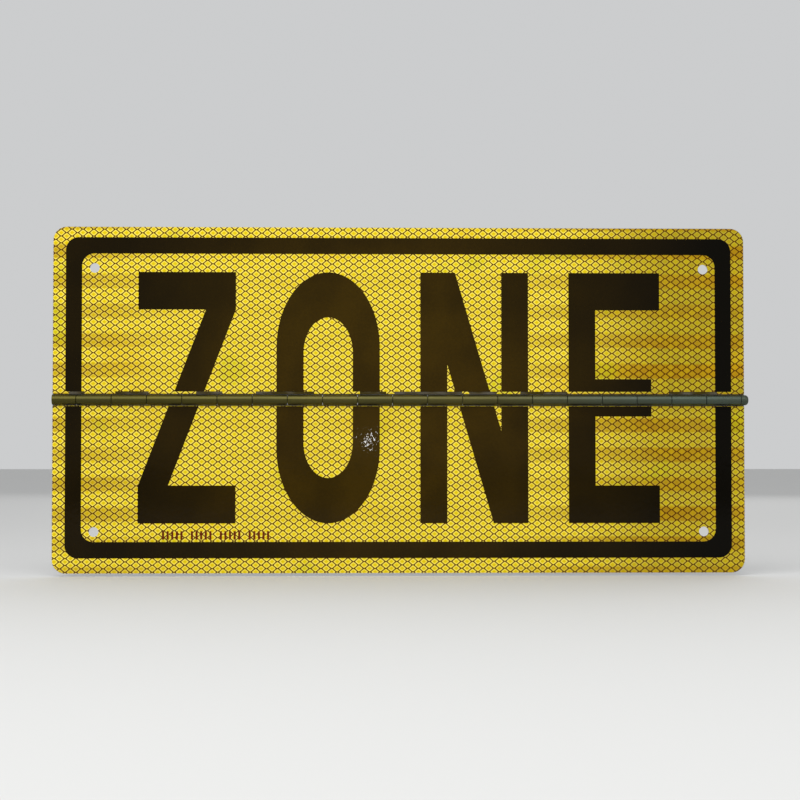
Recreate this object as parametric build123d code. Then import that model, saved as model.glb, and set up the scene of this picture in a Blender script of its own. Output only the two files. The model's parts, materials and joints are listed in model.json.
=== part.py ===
from build123d import *
import math
import os

# A folding road sign panel. Two plates lie edge to edge in one plane, joined at mid
# height by a rolled hinge over the full width. Both are faced with retroreflective
# sheeting and printed with one border and one legend, which the hinge cuts in two.
# The upper half folds forward and down until the two printed faces nearly meet.
#
# Millimetres. +X is to the reader's right, +Z is up and the printed face looks to -Y.
# The origin is the centre of the four corner holes, on the plates' back plane.

# Panel
panel_width = 500.0
panel_height = 250.0
plate_thickness = 1.6
outer_corner_radius = 10.0
hinge_corner_radius = 1.0
edge_break = 0.2

# Corner holes
hole_radius = 3.5
hole_edge_distance = 30.0

# Facing: film and print lie on the plate's front, one on the other
sheeting_thickness = 0.35
sheeting_edge_inset = 0.3
print_thickness = 0.10
fold_clearance = 0.20  # from each printed face to the plane where the halves meet

# Hinge: the pin's axis lies in the plane where the folded halves meet
leaf_thickness = 1.5
leaf_width = 25.0  # from the pin's axis to the leaf's free edge
knuckle_length = 25.0
knuckle_gap = 0.25
shortest_knuckle = 4.0
roll_seam = 0.2  # from the rolled end to its own leaf
knuckle_edge_break = 0.2
barrel_clearance = 0.3  # from the barrel to the plates' edges
leaf_clearance = 0.5  # from the barrel to the leaves' edges behind it
pin_clearance = 0.05
pin_head_length = 5.4
pin_head_overhang = 2.6  # past the panel's right edge
pin_head_dome_radius = 2.4

# Rivets: flush in the plate under the sheeting, with a domed tail behind the leaf
rivet_radius = 1.6
rivet_hole_clearance = 0.05
rivet_head_radius = 2.8
rivet_head_height = 0.8
rivet_tail_radius = 2.6
rivet_tail_height = 1.2
rivet_line = 16.0  # from the pin's axis
rivet_edge_distance = 12.0
rivet_spacing = 70.0  # the nearest whole number of spaces is used

# Print: border and legend sit slightly high on the panel
print_shift_x = -0.2
print_shift_z = 1.65
border_margin = 9.5
border_width = 11.6
border_outer_radius = 9.3
border_inner_radius = 9.0
upper_print_setback = 2.0  # from the upper plate's hinge edge
lower_print_setback = 0.6  # from the lower plate's hinge edge

# Legend: four condensed block capitals, spelling a plain general word. Their height and the
# gaps between them are what the border leaves.
legend_top_clearance = 13.4  # from the border to the letters' heads and feet
legend_side_clearance = 40.6  # from the border to the word's two ends
upright_stroke = 19.4
bar_stroke = 27.0
z_width = 70.0
o_width = 74.4
n_width = 78.0
e_width = 66.0
o_bar_stroke = 32.5
o_bend_height = 54.0  # height of the curved part at each end of the letter
n_slant_width = 25.0  # measured level
z_slant_width = 21.5  # measured level
e_middle_recess = 6.0  # how much shorter the middle bar is

# Small marks: plain upright ticks in groups
mark_height = 6.0
mark_width = 1.5
mark_pitch = 3.3
marks_in_group = 5
mark_groups = 4
mark_group_gap = 6.0
marks_left_edge = 79.0  # from the panel's left edge
marks_clearance = 1.75  # from the border to the marks' feet

# Planes across the thickness, from back to front
sheeting_back = -plate_thickness
print_back = sheeting_back - sheeting_thickness
print_front = print_back - print_thickness
hinge_y = print_front - fold_clearance

# Barrel: the leaf lies on the plates' back plane and its roll is tangent to that plane
bore_radius = -hinge_y
barrel_radius = bore_radius + leaf_thickness
pin_radius = bore_radius - pin_clearance
half_edge = barrel_radius + barrel_clearance  # height of the plates' edges beside the barrel
leaf_edge = math.sqrt((barrel_radius + leaf_clearance) ** 2 - hinge_y**2)

left_edge = -panel_width / 2
right_edge = panel_width / 2
head_start = right_edge + pin_head_overhang - pin_head_length
border_inset = border_margin + border_width
letter_height = panel_height - 2 * (border_inset + legend_top_clearance)
word_width = panel_width - 2 * (border_inset + legend_side_clearance)
letter_gap = (word_width - z_width - o_width - n_width - e_width) / 3
hole_x = panel_width / 2 - hole_edge_distance
hole_z = panel_height / 2 - hole_edge_distance


def slab(outline, back, thickness):
    """A flat outline drawn in X and Z, given a thickness that grows towards the front."""
    plane = Plane(origin=(0, back, 0), x_dir=(1, 0, 0), z_dir=(0, -1, 0))
    return extrude(plane * outline, amount=thickness)


def area(x_low, x_high, z_low, z_high):
    """A rectangle in X and Z from its four sides."""
    centre = Pos((x_low + x_high) / 2, (z_low + z_high) / 2)
    return centre * Rectangle(x_high - x_low, z_high - z_low)


def half_outline(inset, side):
    """Outline of one half, smaller by the inset all round. side is 1 above the hinge, -1 below."""
    whole = RectangleRounded(panel_width - 2 * inset, panel_height - 2 * inset, outer_corner_radius - inset)
    middle = side * (half_edge + inset + panel_height / 2)
    keep = Pos(0, middle) * RectangleRounded(panel_width - 2 * inset, panel_height, hinge_corner_radius)
    return whole & keep


def printed_part(outline, side):
    """The part of a printed outline that lies on one half, stopping short of its hinge edge."""
    setback = upper_print_setback if side > 0 else lower_print_setback
    middle = side * (half_edge + setback + panel_height / 2)
    return outline & (Pos(0, middle) * Rectangle(2 * panel_width, panel_height))


def rivet_places():
    """X of each rivet, in equal spaces between the two end rivets."""
    span = panel_width - 2 * rivet_edge_distance
    spaces = max(1, round(span / rivet_spacing))
    return [left_edge + rivet_edge_distance + span * place / spaces for place in range(spaces + 1)]


def turned(profile_points, x, z):
    """A round piece with its axis along Y, from its profile of (radius, y) points."""
    outline = [(radius, y, 0) for radius, y in profile_points]
    return Pos(x, 0, z) * revolve(make_face(Polyline(outline, close=True)), axis=Axis.Y)


def round_hole(x, z, radius):
    """A cylinder along Y through the full depth of the part."""
    depth = 4 * barrel_radius
    return Pos(x, 0, z) * Rot(90, 0, 0) * Cylinder(radius, depth)


def plate(side):
    body = slab(half_outline(0, side), 0, plate_thickness)
    faces = body.faces().sort_by(Axis.Y)
    body = chamfer(faces[0].edges() + faces[-1].edges(), min(edge_break, 0.4 * plate_thickness))
    body -= [round_hole(x, side * hole_z, hole_radius) for x in (-hole_x, hole_x)]
    shank = rivet_radius + rivet_hole_clearance
    rim = rivet_head_radius + rivet_hole_clearance
    floor = sheeting_back + rivet_head_height
    sink = [(0, sheeting_back), (rim, sheeting_back), (shank, floor), (shank, 0), (0, 0)]
    return body - [turned(sink, x, side * rivet_line) for x in rivet_places()]


def sheeting(side):
    body = slab(half_outline(sheeting_edge_inset, side), sheeting_back, sheeting_thickness)
    return body - [round_hole(x, side * hole_z, hole_radius) for x in (-hole_x, hole_x)]


def rivet(x, side):
    """A flush rivet: countersunk in the plate, its shank through the leaf, its tail domed."""
    neck = sheeting_back + rivet_head_height
    stem = [(0, sheeting_back), (rivet_head_radius, sheeting_back), (rivet_radius, neck)]
    stem += [(rivet_radius, leaf_thickness), (0, leaf_thickness)]
    ball_radius = (rivet_tail_radius**2 + rivet_tail_height**2) / (2 * rivet_tail_height)
    ball = Pos(x, leaf_thickness + rivet_tail_height - ball_radius, side * rivet_line) * Sphere(ball_radius)
    behind = Pos(x, leaf_thickness + ball_radius, side * rivet_line) * Box(*[2 * ball_radius] * 3)
    return turned(stem, x, side * rivet_line) + (ball & behind)


def knuckles():
    """(start, end, side) of each knuckle along X. Full knuckles run from the pin's head to the
    left, and the first one takes what is left. The first belongs to the upper half."""
    pitch = knuckle_length + knuckle_gap
    barrel_length = head_start - left_edge
    full = int(barrel_length // pitch)
    if barrel_length - full * pitch < shortest_knuckle + knuckle_gap:
        full -= 1
    first_end = head_start - full * pitch - knuckle_gap
    rows = [(left_edge, first_end)]
    for place in range(full):
        start = first_end + knuckle_gap + place * pitch
        rows.append((start, start + knuckle_length))
    return [(start, end, 1 if place % 2 == 0 else -1) for place, (start, end) in enumerate(rows)]


def knuckle(start, end, side):
    """A strip of the leaf rolled round the pin. The roll stops just short of its own leaf."""
    across = Plane(origin=(start, hinge_y, 0), x_dir=(0, 1, 0), z_dir=(1, 0, 0))
    ring = Circle(barrel_radius) - Circle(bore_radius)
    rise = math.asin((bore_radius - roll_seam) / barrel_radius)
    reach = 2 * barrel_radius
    corner = (reach * math.sin(rise), side * reach * math.cos(rise))
    mouth = make_face(Polyline((0, 0), corner, (reach, side * reach), (reach, 0), close=True))
    strip_width = half_edge + leaf_thickness
    strip_place = Pos(bore_radius + leaf_thickness / 2, side * strip_width / 2)
    strip = strip_place * Rectangle(leaf_thickness, strip_width)
    roll = extrude(across * (ring - mouth), amount=end - start)
    rims = roll.edges().filter_by(lambda edge: edge.geom_type == GeomType.CIRCLE)
    outer_rims = [edge for edge in rims if edge.radius > bore_radius + leaf_thickness / 2]
    roll = chamfer(outer_rims, min(knuckle_edge_break, 0.4 * leaf_thickness))
    return roll + extrude(across * strip, amount=end - start)


def hinge_leaf(side):
    own = [(start, end) for start, end, owner in knuckles() if owner == side]
    flat_width = leaf_width - leaf_edge
    centre = Pos(0, leaf_thickness / 2, side * (leaf_edge + flat_width / 2))
    body = centre * Box(panel_width, leaf_thickness, flat_width)
    body += [knuckle(start, end, side) for start, end in own]
    hole = rivet_radius + rivet_hole_clearance
    return body - [round_hole(x, side * rivet_line, hole) for x in rivet_places()]


def hinge_pin():
    """The pin runs from the left edge to a full-size domed head at the right end."""
    shaft_length = head_start - left_edge
    along = Plane(origin=(left_edge, hinge_y, 0), x_dir=(0, 1, 0), z_dir=(1, 0, 0))
    shaft = extrude(along * Circle(pin_radius), amount=shaft_length)
    head_end = Plane(origin=(head_start, hinge_y, 0), x_dir=(0, 1, 0), z_dir=(1, 0, 0))
    head = extrude(head_end * Circle(barrel_radius), amount=pin_head_length)
    tip = head.edges().sort_by(Axis.X)[-1]
    return shaft + fillet(tip, min(pin_head_dome_radius, 0.9 * barrel_radius, 0.9 * pin_head_length))


def border_outline():
    width = panel_width - 2 * border_margin
    height = panel_height - 2 * border_margin
    outer = RectangleRounded(width, height, border_outer_radius)
    inner = RectangleRounded(width - 2 * border_width, height - 2 * border_width, border_inner_radius)
    return Pos(print_shift_x, print_shift_z) * (outer - inner)


def letter_z():
    top = letter_height
    high = letter_height - bar_stroke
    slant = z_slant_width
    lower_edge = [(0, 0), (z_width, 0), (z_width, bar_stroke), (slant, bar_stroke), (z_width, high)]
    upper_edge = [(z_width, top), (0, top), (0, high), (z_width - slant, high), (0, bar_stroke)]
    return make_face(Polyline(*lower_edge, *upper_edge, close=True))


def stretched_ring_outline(width, height, bend):
    """A tall outline with straight sides and half-ellipse ends."""
    straight = height / 2 - bend
    ends = [Pos(0, place) * Ellipse(width / 2, bend) for place in (-straight, straight)]
    return Rectangle(width, 2 * straight) + ends


def letter_o():
    outer = stretched_ring_outline(o_width, letter_height, o_bend_height)
    inner_width = o_width - 2 * upright_stroke
    inner_bend = o_bend_height * inner_width / o_width
    inner = stretched_ring_outline(inner_width, letter_height - 2 * o_bar_stroke, inner_bend)
    return Pos(o_width / 2, letter_height / 2) * (outer - inner)


def letter_n():
    uprights = [area(x, x + upright_stroke, 0, letter_height) for x in (0, n_width - upright_stroke)]
    top = letter_height
    slant = Polyline((0, top), (n_slant_width, top), (n_width, 0), (n_width - n_slant_width, 0), close=True)
    return make_face(slant) + uprights


def letter_e():
    centre = letter_height / 2
    upright = area(0, upright_stroke, 0, letter_height)
    bars = [
        area(0, e_width, 0, bar_stroke),
        area(0, e_width, letter_height - bar_stroke, letter_height),
        area(0, e_width - e_middle_recess, centre - bar_stroke / 2, centre + bar_stroke / 2),
    ]
    return upright + bars


def legend():
    """The letters' outlines in reading order, centred as one word on the print."""
    letters = [(letter_z(), z_width), (letter_o(), o_width), (letter_n(), n_width), (letter_e(), e_width)]
    x = print_shift_x - word_width / 2
    placed = []
    for outline, width in letters:
        placed.append(Pos(x, print_shift_z - letter_height / 2) * outline)
        x += width + letter_gap
    return placed


def marks_outline():
    ticks = []
    x = left_edge + marks_left_edge
    foot = -panel_height / 2 + border_inset + print_shift_z + marks_clearance
    for _ in range(mark_groups):
        for _ in range(marks_in_group):
            ticks.append(area(x, x + mark_width, foot, foot + mark_height))
            x += mark_pitch
        x += mark_group_gap - (mark_pitch - mark_width)
    return Sketch() + ticks


def printed(outline):
    return slab(outline, print_back, print_thickness)


nodes = {"hinge_pin": hinge_pin()}
for half, side in (("lower", -1), ("upper", 1)):
    nodes[half + "_plate"] = plate(side)
    nodes[half + "_sheeting"] = sheeting(side)
    nodes[half + "_border"] = printed(printed_part(border_outline(), side))
    nodes[half + "_hinge_leaf"] = hinge_leaf(side)
    for number, outline in enumerate(legend(), start=1):
        nodes[f"{half}_legend_{number}"] = printed(printed_part(outline, side))
    for number, x in enumerate(rivet_places(), start=1):
        nodes[f"{half}_rivet_{number}"] = rivet(x, side)
nodes["lower_marks"] = printed(marks_outline())

os.makedirs("parts", exist_ok=True)
for name, shape in nodes.items():
    export_step(shape, f"parts/{name}.step")
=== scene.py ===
import bpy
import bmesh
import json
import math
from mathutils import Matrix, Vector


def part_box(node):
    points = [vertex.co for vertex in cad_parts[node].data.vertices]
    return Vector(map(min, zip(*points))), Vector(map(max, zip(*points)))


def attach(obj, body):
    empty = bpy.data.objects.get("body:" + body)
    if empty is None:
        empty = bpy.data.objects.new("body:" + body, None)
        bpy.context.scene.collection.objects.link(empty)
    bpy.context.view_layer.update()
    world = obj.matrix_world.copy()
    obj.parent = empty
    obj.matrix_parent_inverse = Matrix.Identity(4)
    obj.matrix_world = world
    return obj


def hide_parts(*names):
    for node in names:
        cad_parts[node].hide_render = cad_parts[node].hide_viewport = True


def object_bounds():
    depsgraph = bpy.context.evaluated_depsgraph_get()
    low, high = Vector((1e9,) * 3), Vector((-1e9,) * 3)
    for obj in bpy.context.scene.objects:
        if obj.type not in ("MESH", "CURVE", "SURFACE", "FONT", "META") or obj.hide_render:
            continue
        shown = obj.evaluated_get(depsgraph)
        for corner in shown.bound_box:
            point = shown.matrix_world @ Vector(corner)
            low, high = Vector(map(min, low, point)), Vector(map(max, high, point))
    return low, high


# The folding sign panel: looks only. Lengths are in metres, in the CAD frame: +X to the
# reader's right, +Z up, the printed face looks to -Y, the hinge lies along X at mid height.

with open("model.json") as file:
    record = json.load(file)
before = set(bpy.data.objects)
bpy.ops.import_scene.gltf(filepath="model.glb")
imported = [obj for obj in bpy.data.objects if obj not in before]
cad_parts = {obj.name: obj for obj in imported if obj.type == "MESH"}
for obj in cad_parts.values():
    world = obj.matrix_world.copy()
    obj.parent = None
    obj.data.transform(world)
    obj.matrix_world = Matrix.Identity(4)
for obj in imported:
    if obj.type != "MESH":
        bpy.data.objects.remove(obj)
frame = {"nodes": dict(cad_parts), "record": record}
cad_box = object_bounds()

MM = 0.001

# Sheeting: rounded diamond cells in offset columns, with raised seal walls between them, and
# level bands that are warm and plain in turn. Each half has its own piece of film, so its cells
# and its bands start at their own place.
COLUMN_PITCH = 7.80 * MM  # between cells side by side
ROW_PITCH = 4.95 * MM  # between cells one above the other
CELL_HALF_WIDTH = 2.70 * MM
CELL_HALF_HEIGHT = 2.25 * MM
CELL_ROUNDING = 1.13  # 1 for a straight-sided diamond, 2 for an ellipse
CELL_ORIGIN = {"upper": (1.5 * MM, -0.8 * MM), "lower": (1.5 * MM, 2.4 * MM)}
CELL_FLOOR = 0.86  # size of a cell's floor, as a share of its mouth
CELL_RECESS = 0.07 * MM
CELL_CROWN = 0.03 * MM
BAND_PITCH = 21.4 * MM
BAND_ORIGIN = {"upper": 0.0 * MM, "lower": -18.0 * MM}  # the middle of a warm band
BAND_SWAY = 1.5 * MM  # how far a band wanders up or down
OVERCUT = 1 * MM  # how far a cutting tool runs past what it cuts

# Ink: the centre of a pool of painted light on the ink, level with the hinge
PAINTED_LIGHT_X = -20 * MM

# Hinge: knuckles are counted from the pin's head
KNUCKLE_PITCH = 25.25 * MM
PIN_HEAD_LENGTH = 5.4 * MM

# Where the upper film's hinge edge was trimmed back to the print: from and to, along X
TRIMMED_SPANS = [
    (-238, -227), (-205, -181), (-147, -128), (-104, -62), (-29, -10),
    (-4, 45), (50, 70), (87, 121), (195, 230),
]


class Nodes:
    """A material's node tree, with short calls to add nodes and join them."""

    def __init__(self, name):
        self.material = bpy.data.materials.new(name)
        self.material.use_nodes = True
        self.tree = self.material.node_tree
        self.tree.nodes.clear()
        output = self.tree.nodes.new("ShaderNodeOutputMaterial")
        self.shader = self.tree.nodes.new("ShaderNodeBsdfPrincipled")
        self.tree.links.new(self.shader.outputs["BSDF"], output.inputs["Surface"])
        self.place = self.tree.nodes.new("ShaderNodeTexCoord").outputs["Object"]

    def set(self, **values):
        for name, value in values.items():
            self.join(value, self.shader.inputs[name.replace("_", " ")])
        return self

    def join(self, value, socket):
        if isinstance(value, bpy.types.NodeSocket):
            self.tree.links.new(value, socket)
        elif value is not None:
            socket.default_value = value

    def math(self, operation, a, b=None):
        node = self.tree.nodes.new("ShaderNodeMath")
        node.operation = operation
        for value, socket in zip((a, b), node.inputs):
            self.join(value, socket)
        return node.outputs[0]

    def vector_math(self, operation, a, b):
        node = self.tree.nodes.new("ShaderNodeVectorMath")
        node.operation = operation
        self.join(a, node.inputs[0])
        self.join(b, node.inputs[1])
        return node.outputs[0]

    def split(self, vector):
        node = self.tree.nodes.new("ShaderNodeSeparateXYZ")
        self.join(vector, node.inputs[0])
        return node.outputs[0], node.outputs[1], node.outputs[2]

    def noise(self, size, detail=3.0, roughness=0.5, stretch=(1, 1, 1), turn=0.0):
        """Noise from 0 to 1 whose features are about size across, longer by stretch, turned by an
        angle about Y."""
        turned = self.tree.nodes.new("ShaderNodeMapping")
        self.join(self.place, turned.inputs["Vector"])
        turned.inputs["Rotation"].default_value = (0, turn, 0)
        node = self.tree.nodes.new("ShaderNodeTexNoise")
        scaled = self.vector_math("MULTIPLY", turned.outputs[0], [1 / (size * s) for s in stretch])
        self.join(scaled, node.inputs["Vector"])
        node.inputs["Scale"].default_value = 1.0
        node.inputs["Detail"].default_value = detail
        node.inputs["Roughness"].default_value = roughness
        return node.outputs["Fac"]

    def own_number(self, *values):
        """A number from 0 to 1 that belongs to each set of one to three whole numbers."""
        cell = self.tree.nodes.new("ShaderNodeCombineXYZ")
        for value, socket in zip(values, cell.inputs):
            self.join(value, socket)
        node = self.tree.nodes.new("ShaderNodeTexWhiteNoise")
        self.join(cell.outputs[0], node.inputs[0])
        return node.outputs["Value"]

    def ramp(self, value, low, high, start=0.0, end=1.0):
        """Maps low..high smoothly to start..end, held beyond them."""
        node = self.tree.nodes.new("ShaderNodeMapRange")
        node.interpolation_type = "SMOOTHSTEP"
        for socket, number in zip(node.inputs[:5], (value, low, high, start, end)):
            self.join(number, socket)
        return node.outputs[0]

    def mix(self, factor, a, b, blend="MIX"):
        node = self.tree.nodes.new("ShaderNodeMix")
        node.data_type = "RGBA"
        node.blend_type = blend
        self.join(factor, node.inputs[0])
        self.join(a, node.inputs[6])
        self.join(b, node.inputs[7])
        return node.outputs[2]

    def bump(self, height, distance, strength=1.0):
        node = self.tree.nodes.new("ShaderNodeBump")
        node.inputs["Strength"].default_value = strength
        node.inputs["Distance"].default_value = distance
        self.join(height, node.inputs["Height"])
        return node.outputs[0]


def rgb(red, green, blue):
    return (red, green, blue, 1.0)


def from_centre(n, across, up):
    """0 at a cell's centre and 1 at its edge, from the distances to the centre in millimetres."""
    wide = n.math("POWER", n.math("DIVIDE", across, CELL_HALF_WIDTH / MM), CELL_ROUNDING)
    high = n.math("POWER", n.math("DIVIDE", up, CELL_HALF_HEIGHT / MM), CELL_ROUNDING)
    return n.math("POWER", n.math("ADD", wide, high), 1 / CELL_ROUNDING)


def lattice(n, half):
    """How far a point is from the centre of its cell, 1 at the cell's edge, and a number from 0 to
    1 of each cell's own."""
    start_x, start_z = CELL_ORIGIN[half]
    x, _, z = n.split(n.place)
    across = n.math("DIVIDE", n.math("SUBTRACT", x, start_x), COLUMN_PITCH)
    up = n.math("DIVIDE", n.math("SUBTRACT", z, start_z), ROW_PITCH)
    off_x = n.math("MULTIPLY", n.math("PINGPONG", across, 0.5), COLUMN_PITCH / MM)
    off_z = n.math("MULTIPLY", n.math("PINGPONG", up, 0.5), ROW_PITCH / MM)
    in_line = from_centre(n, off_x, off_z)
    other_x = n.math("SUBTRACT", COLUMN_PITCH / 2 / MM, off_x)
    other_z = n.math("SUBTRACT", ROW_PITCH / 2 / MM, off_z)
    between = from_centre(n, other_x, other_z)
    rising = n.math("ROUND", n.math("ADD", across, up))
    falling = n.math("ROUND", n.math("SUBTRACT", across, up))
    return n.math("MINIMUM", in_line, between), n.own_number(rising, falling)


def warm_bands(n, half):
    """The film's warm bands from 0 to 1, plain to see at the right end, less so at the left."""
    x, _, z = n.split(n.place)
    sway = n.math("MULTIPLY", n.noise(60 * MM, detail=2, stretch=(2, 1, 1)), 2 * BAND_SWAY)
    height = n.math("ADD", n.math("SUBTRACT", z, BAND_ORIGIN[half] + BAND_SWAY), sway)
    turn = n.math("PINGPONG", n.math("DIVIDE", height, BAND_PITCH), 0.5)
    band = n.ramp(turn, 0.20, 0.28, 1, 0)
    at_right = n.ramp(x, 0.05, 0.19, 0.10, 0.90)
    at_left = n.ramp(x, -0.235, -0.15, 0.50, 0)
    uneven = n.ramp(n.noise(45 * MM, detail=2, stretch=(2.5, 1, 1)), 0.35, 0.65, 0.5, 1.0)
    strength = n.math("MULTIPLY", n.math("ADD", at_right, at_left), uneven)
    return n.math("MULTIPLY", band, strength)


def sheeting_material(half):
    """Retroreflective film: cells with a bright rim and a darker middle, between brown walls.
    Towards the right end it is darkened with painted shade, where the light falls off."""
    n = Nodes("reflective_yellow_" + half)
    out, own = lattice(n, half)
    rim = rgb(1.0, 0.82, 0.115)
    middle = rgb(0.75, 0.555, 0.002)
    warm = rgb(0.36, 0.185, 0.003)
    orange = rgb(0.72, 0.40, 0.004)
    green = rgb(0.45, 0.50, 0.002)
    painted_shade_yellow = rgb(0.31, 0.235, 0.006)
    wall = rgb(0.090, 0.030, 0.0)
    cell = n.mix(n.ramp(out, 0.42, 0.82), middle, rim)
    x, _, _ = n.split(n.place)
    # Painted shade: towards the right end the cells are mixed with a dark tone, where the light
    # falls off.
    right_end_shade_share = {"upper": 0.80, "lower": 0.66}[half]
    cell = n.mix(n.ramp(x, 0.11, 0.20, 0, right_end_shade_share), cell, painted_shade_yellow)
    cell = n.mix(warm_bands(n, half), cell, warm)
    blush = n.noise(50 * MM, detail=2, stretch=(1.5, 1, 1))
    cell = n.mix(n.ramp(blush, 0.55, 0.75, 0, 0.28), cell, orange)
    tint = n.noise(38 * MM, detail=1, stretch=(1.2, 1, 1))
    cell = n.mix(n.ramp(tint, 0.62, 0.74, 0, 0.35), cell, green)
    cell = n.mix(n.ramp(own, 0.0, 1.0, 0.0, 0.22), cell, middle)
    colour = n.mix(n.ramp(out, 0.90, 1.06), cell, wall)
    haze = n.noise(9 * MM, detail=3)
    n.set(Base_Color=colour, Roughness=n.ramp(haze, 0.3, 0.7, 0.26, 0.38))
    n.shader.inputs["Specular IOR Level"].default_value = 0.06
    return n.material


def ink_material(name, half, shaded_ink, lit_ink):
    """Glossy ink over the film, lightened by a pool of painted light about the middle of the sign
    and darkened with painted shade at the right end. The cells and a fine ripple just show in its
    gloss."""
    n = Nodes(name)
    out, _ = lattice(n, half)
    x, _, z = n.split(n.place)
    # Painted light: the ink goes from its shaded colour to its lit colour in a pool about a point
    # left of the middle, and back to painted shade towards the right end.
    right = n.math("SUBTRACT", x, PAINTED_LIGHT_X)
    squares = n.math("ADD", n.math("MULTIPLY", right, right), n.math("MULTIPLY", z, z))
    from_middle = n.math("SQRT", squares)
    painted_light_pool = n.ramp(from_middle, 0.04, 0.21, 0.92, 0.20)
    painted_light_pool = n.math("MULTIPLY", painted_light_pool, n.ramp(x, 0.15, 0.235, 1.0, 0.0))
    cloud = n.ramp(n.noise(45 * MM, detail=2), 0.35, 0.65, 0.8, 1.15)
    speck = n.ramp(n.noise(1.6 * MM, detail=4, roughness=0.7), 0.3, 0.7, 0.9, 1.1)
    shade = n.mix(n.math("MULTIPLY", painted_light_pool, n.math("MULTIPLY", cloud, speck)), shaded_ink, lit_ink)
    ripple = n.noise(2.9 * MM, detail=0.7)
    relief = n.bump(n.math("ADD", ripple, n.ramp(out, 0.75, 1.0, 0, 0.08)), 0.018 * MM)
    smear = n.ramp(n.noise(20 * MM, detail=3), 0.35, 0.7, 0.026, 0.036)
    n.set(Base_Color=shade, Roughness=smear, Normal=relief)
    n.shader.inputs["Specular IOR Level"].default_value = 0.06
    return n.material


def metal_material(n, colour, dull, roughness, lines=0.25, smudges=0.5):
    """Sheet metal with rolling lines along X, broken by faint smudges."""
    grain = n.noise(0.35 * MM, detail=3, roughness=0.7, stretch=(90, 1, 1))
    smudge = n.noise(55 * MM, detail=5, roughness=0.6, stretch=(1.6, 1, 1))
    shade = n.mix(n.ramp(smudge, 0.35, 0.7, 0, smudges), colour, dull)
    shade = n.mix(n.ramp(grain, 0.3, 0.7, 0, lines), shade, dull)
    wear = n.math("MULTIPLY", n.math("ADD", grain, smudge), 0.5)
    rough = n.ramp(wear, 0.3, 0.7, *roughness)
    n.set(Base_Color=shade, Roughness=rough, Normal=n.bump(grain, 0.02 * MM, 0.6))
    n.shader.inputs["Metallic"].default_value = 1.0
    return n.material


def hinge_material():
    """Dull olive steel, bluer towards the pin's head. Each knuckle takes the light differently.
    On the front the olive is deepened by painted shade and a painted reflection of the yellow
    film;
    the leaves behind the plates are plain grey."""
    n = Nodes("hinge_steel")
    x, y, _ = n.split(n.place)
    first_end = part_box("hinge_pin")[1].x - PIN_HEAD_LENGTH
    count = n.math("FLOOR", n.math("DIVIDE", n.math("SUBTRACT", x, first_end), KNUCKLE_PITCH))
    # On the front the olive is the steel's own tint, deepened by painted shade and warmed by a
    # painted reflection of the yellow film.
    olive = n.mix(n.ramp(x, -0.20, 0.05), rgb(0.080, 0.069, 0.014), rgb(0.105, 0.092, 0.028))
    colour = n.mix(n.ramp(x, 0.04, 0.20), olive, rgb(0.088, 0.116, 0.096))
    colour = n.mix(n.math("MULTIPLY", n.own_number(count), 0.35), colour, rgb(0.06, 0.058, 0.025))
    # Behind the plates the steel keeps its plain grey, without that painted shade and reflection.
    colour = n.mix(n.ramp(y, -3.0 * MM, 0.2 * MM), colour, rgb(0.25, 0.248, 0.235))
    dull = n.mix(0.5, colour, rgb(0.045, 0.045, 0.02))
    return metal_material(n, colour, dull, (0.32, 0.46), lines=0.5)


def plate_material():
    """Mill-finish sheet with a few fine scratches. Where the film was trimmed back along the
    hinge, the front is coloured dark brown in patches and is not metallic."""
    n = Nodes("plate_aluminium")
    bright, dull = rgb(0.70, 0.71, 0.72), rgb(0.52, 0.53, 0.54)
    metal_material(n, bright, dull, (0.30, 0.42), lines=0.5, smudges=0.25)
    metal = n.shader.inputs["Base Color"].links[0].from_socket
    for turn in (0.5, -0.9, 1.45):
        scratch = n.noise(0.5 * MM, detail=0, stretch=(90, 1, 1), turn=turn)
        metal = n.mix(n.ramp(scratch, 0.76, 0.84, 0, 0.5), metal, dull)
    _, y, z = n.split(n.place)
    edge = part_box("upper_border")[0].z
    beside_hinge = n.math("LESS_THAN", n.math("ABSOLUTE", z), edge)
    on_front = n.math("LESS_THAN", y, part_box("upper_plate")[0].y + 0.1 * MM)
    patchy = n.ramp(n.noise(4 * MM, detail=4, stretch=(3, 1, 1)), 0.3, 0.6, 0.9, 1.0)
    # The front, in the strip between the print's edge and the hinge, is darkened to brown in
    # patches and made non-metallic.
    dark_strip_by_hinge = n.math("MULTIPLY", n.math("MULTIPLY", beside_hinge, on_front), patchy)
    n.set(Base_Color=n.mix(dark_strip_by_hinge, metal, rgb(0.05, 0.036, 0.006)))
    n.set(Metallic=n.math("SUBTRACT", 1.0, dark_strip_by_hinge))
    n.shader.inputs["Specular IOR Level"].default_value = 0.06
    return n.material


# Each ink as two colours: first in painted shade at the right end, then in the pool of painted
# light.
BLACK = (rgb(0.0028, 0.0021, 0.0008), rgb(0.040, 0.0225, 0.0012))
RED = (rgb(0.10, 0.014, 0.002), rgb(0.19, 0.034, 0.002))
RIVET = (rgb(0.80, 0.80, 0.81), rgb(0.62, 0.62, 0.63))
materials = {
    "upper_black": ink_material("printed_black_upper", "upper", *BLACK),
    "lower_black": ink_material("printed_black_lower", "lower", *BLACK),
    "lower_red": ink_material("printed_red_lower", "lower", *RED),
    "plate_aluminium": plate_material(),
    "hinge_steel": hinge_material(),
    "rivet_aluminium": metal_material(Nodes("rivet_aluminium"), *RIVET, (0.22, 0.36)),
}


def carry_over():
    """Gives each CAD node that stays its material. The ink follows the cells of its own half."""
    for part in frame["record"]["subparts"]:
        name, slot = part["node"], part["material_slot"]
        key = slot.replace("printed", name.split("_")[0])
        if key in materials:
            mesh = frame["nodes"][name].data
            mesh.materials.clear()
            mesh.materials.append(materials[key])


def object_from(form, name):
    mesh = bpy.data.meshes.new(name)
    form.to_mesh(mesh)
    form.free()
    made = bpy.data.objects.new(name, mesh)
    bpy.context.scene.collection.objects.link(made)
    return made


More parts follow.
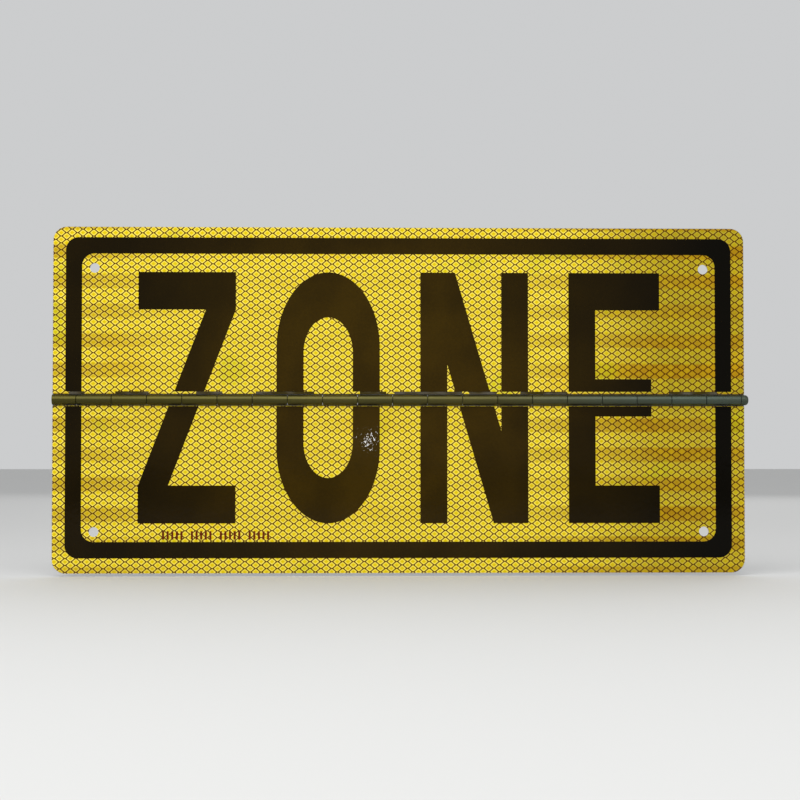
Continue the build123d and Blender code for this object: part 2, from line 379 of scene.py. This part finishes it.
def cut(piece, tool, operation):
    """Cuts one closed mesh with another and removes the tool."""
    change = piece.modifiers.new("cut", "BOOLEAN")
    change.object = tool
    change.operation = operation
    change.solver = "MANIFOLD"
    view = bpy.context.evaluated_depsgraph_get()
    result = bpy.data.meshes.new_from_object(piece.evaluated_get(view))
    piece.modifiers.clear()
    piece.data = result
    bpy.data.objects.remove(tool)


def diamond_ring(half_width, half_height, rounding):
    """Eight points about a centre: a diamond's corners, and its sides' middles pushed outwards."""
    bulge = 0.5 ** (1 / rounding)
    ring = []
    for across, up in ((-1, 0), (0, -1), (1, 0), (0, 1)):
        ring.append((across * half_width, up * half_height))
        side_x, side_z = across - up, up + across
        ring.append((side_x * bulge * half_width, side_z * bulge * half_height))
    return ring


def cell_sheet(half, low, high):
    """A closed slab a little larger than the film, with its cells pressed into its front."""
    form = bmesh.new()
    shared = {}

    def corner(x, y, z):
        key = (round(x * 1e7), round(y * 1e7), round(z * 1e7))
        if key not in shared:
            shared[key] = form.verts.new((x, y, z))
        return shared[key]

    mouth = diamond_ring(CELL_HALF_WIDTH, CELL_HALF_HEIGHT, CELL_ROUNDING)
    rings = (
        (diamond_ring(COLUMN_PITCH / 2, ROW_PITCH / 2, 1), low.y),
        (mouth, low.y),
        ([(x * CELL_FLOOR, z * CELL_FLOOR) for x, z in mouth], low.y + CELL_RECESS),
    )
    start_x, start_z = CELL_ORIGIN[half]
    first_column = math.floor(2 * (low.x - start_x) / COLUMN_PITCH) - 1
    last_column = math.ceil(2 * (high.x - start_x) / COLUMN_PITCH) + 1
    first_row = math.floor(2 * (low.z - start_z) / ROW_PITCH) - 1
    last_row = math.ceil(2 * (high.z - start_z) / ROW_PITCH) + 1
    for column in range(first_column, last_column + 1):
        for row in range(first_row, last_row + 1):
            if (column + row) % 2:
                continue
            x = start_x + column * COLUMN_PITCH / 2
            z = start_z + row * ROW_PITCH / 2
            loops = [[corner(x + dx, y, z + dz) for dx, dz in ring] for ring, y in rings]
            crown = corner(x, low.y + CELL_RECESS - CELL_CROWN, z)
            for side in range(len(mouth)):
                after = (side + 1) % len(mouth)
                for outer, inner in zip(loops, loops[1:]):
                    form.faces.new((outer[side], outer[after], inner[after], inner[side]))
                form.faces.new((loops[-1][side], loops[-1][after], crown))
    rim = [edge for edge in form.edges if edge.is_boundary]
    walls = bmesh.ops.extrude_edge_only(form, edges=rim)["geom"]
    for vertex in (item for item in walls if isinstance(item, bmesh.types.BMVert)):
        vertex.co.y = high.y + OVERCUT
    bmesh.ops.holes_fill(form, edges=[edge for edge in form.edges if edge.is_boundary], sides=0)
    bmesh.ops.recalc_face_normals(form, faces=form.faces)
    return object_from(form, half + "_film")


def film_outline(node, low, high):
    """The CAD film, deeper towards the front, so that it cuts only the cell sheet's outline."""
    form = bmesh.new()
    form.from_mesh(frame["nodes"][node].data)
    bmesh.ops.remove_doubles(form, verts=form.verts, dist=1e-6)
    middle = (low.y + high.y) / 2
    for vertex in form.verts:
        if vertex.co.y < middle:
            vertex.co.y -= OVERCUT
    return object_from(form, node + "_outline")


def trimmed_strips(print_edge, low, high):
    """Blocks that take the film's hinge edge away along the trimmed spans."""
    form = bmesh.new()
    for start, end in TRIMMED_SPANS:
        block = bmesh.ops.create_cube(form, size=1)["verts"]
        for vertex in block:
            vertex.co.x = (start if vertex.co.x < 0 else end) * MM
            vertex.co.y = low.y - OVERCUT if vertex.co.y < 0 else high.y + OVERCUT
            vertex.co.z = low.z - OVERCUT if vertex.co.z < 0 else print_edge
    return object_from(form, "trimmed_strips")


def sheeting(half):
    """One half's film with its cells in relief, cut to the CAD film's outline and holes."""
    node = half + "_sheeting"
    low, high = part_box(node)
    film = cell_sheet(half, low, high)
    cut(film, film_outline(node, low, high), "INTERSECT")
    if half == "upper":
        print_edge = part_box("upper_border")[0].z
        cut(film, trimmed_strips(print_edge, low, high), "DIFFERENCE")
    film.data.materials.clear()
    film.data.materials.append(sheeting_material(half))
    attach(film, half + "_half")
    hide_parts(node)


carry_over()
for half_name in ("lower", "upper"):
    sheeting(half_name)


def stage():
    """Pale floor under the sign, pale even surroundings, three soft lamps, and a small one near
    the camera that glints in the ink."""
    floor_gap = 2 * MM
    low, _ = cad_box
    bpy.ops.mesh.primitive_plane_add(size=30, location=(0, 0, low.z - floor_gap))
    floor = bpy.context.object
    floor.name = "floor"
    pale = Nodes("floor_pale").set(Base_Color=rgb(0.62, 0.62, 0.61), Roughness=0.8)
    floor.data.materials.append(pale.material)
    world = bpy.data.worlds.new("surroundings")
    world.use_nodes = True
    background = world.node_tree.nodes["Background"]
    background.inputs["Color"].default_value = rgb(0.86, 0.87, 0.88)
    background.inputs["Strength"].default_value = 0.7
    bpy.context.scene.world = world
    lamps = (
        ("key", (-0.3, -1.1, 1.15), 1.4, 18),
        ("fill", (1.6, -1.2, 0.7), 1.6, 5),
        ("back", (0.4, 2.2, 1.5), 2.6, 12),
        ("glint", (-0.007, -1.36, -0.015), 0.008, 0.04),
    )
    for name, place, size, power in lamps:
        lamp = bpy.data.lights.new(name, "AREA")
        lamp.size = size
        lamp.energy = power
        lamp_object = bpy.data.objects.new(name, lamp)
        lamp_object.location = place
        lamp_object.rotation_euler = (-Vector(place)).to_track_quat("-Z", "Y").to_euler()
        bpy.context.scene.collection.objects.link(lamp_object)


def camera():
    """Almost square on: a long lens, a little to the left of and below the sign's middle."""
    lens = bpy.data.cameras.new("camera")
    lens.lens = 85
    lens.sensor_width = 36
    view_distance = 1.366
    azimuth, elevation = math.radians(-1.6), math.radians(-1.8)
    level = Vector((math.sin(azimuth), -math.cos(azimuth), 0))
    back = level * math.cos(elevation) + Vector((0, 0, math.sin(elevation)))
    viewer = bpy.data.objects.new("camera", lens)
    viewer.location = back * view_distance
    viewer.rotation_euler = (-back).to_track_quat("-Z", "Y").to_euler()
    bpy.context.scene.collection.objects.link(viewer)
    bpy.context.scene.camera = viewer


stage()
camera()
bpy.context.scene.view_settings.view_transform = "Standard"
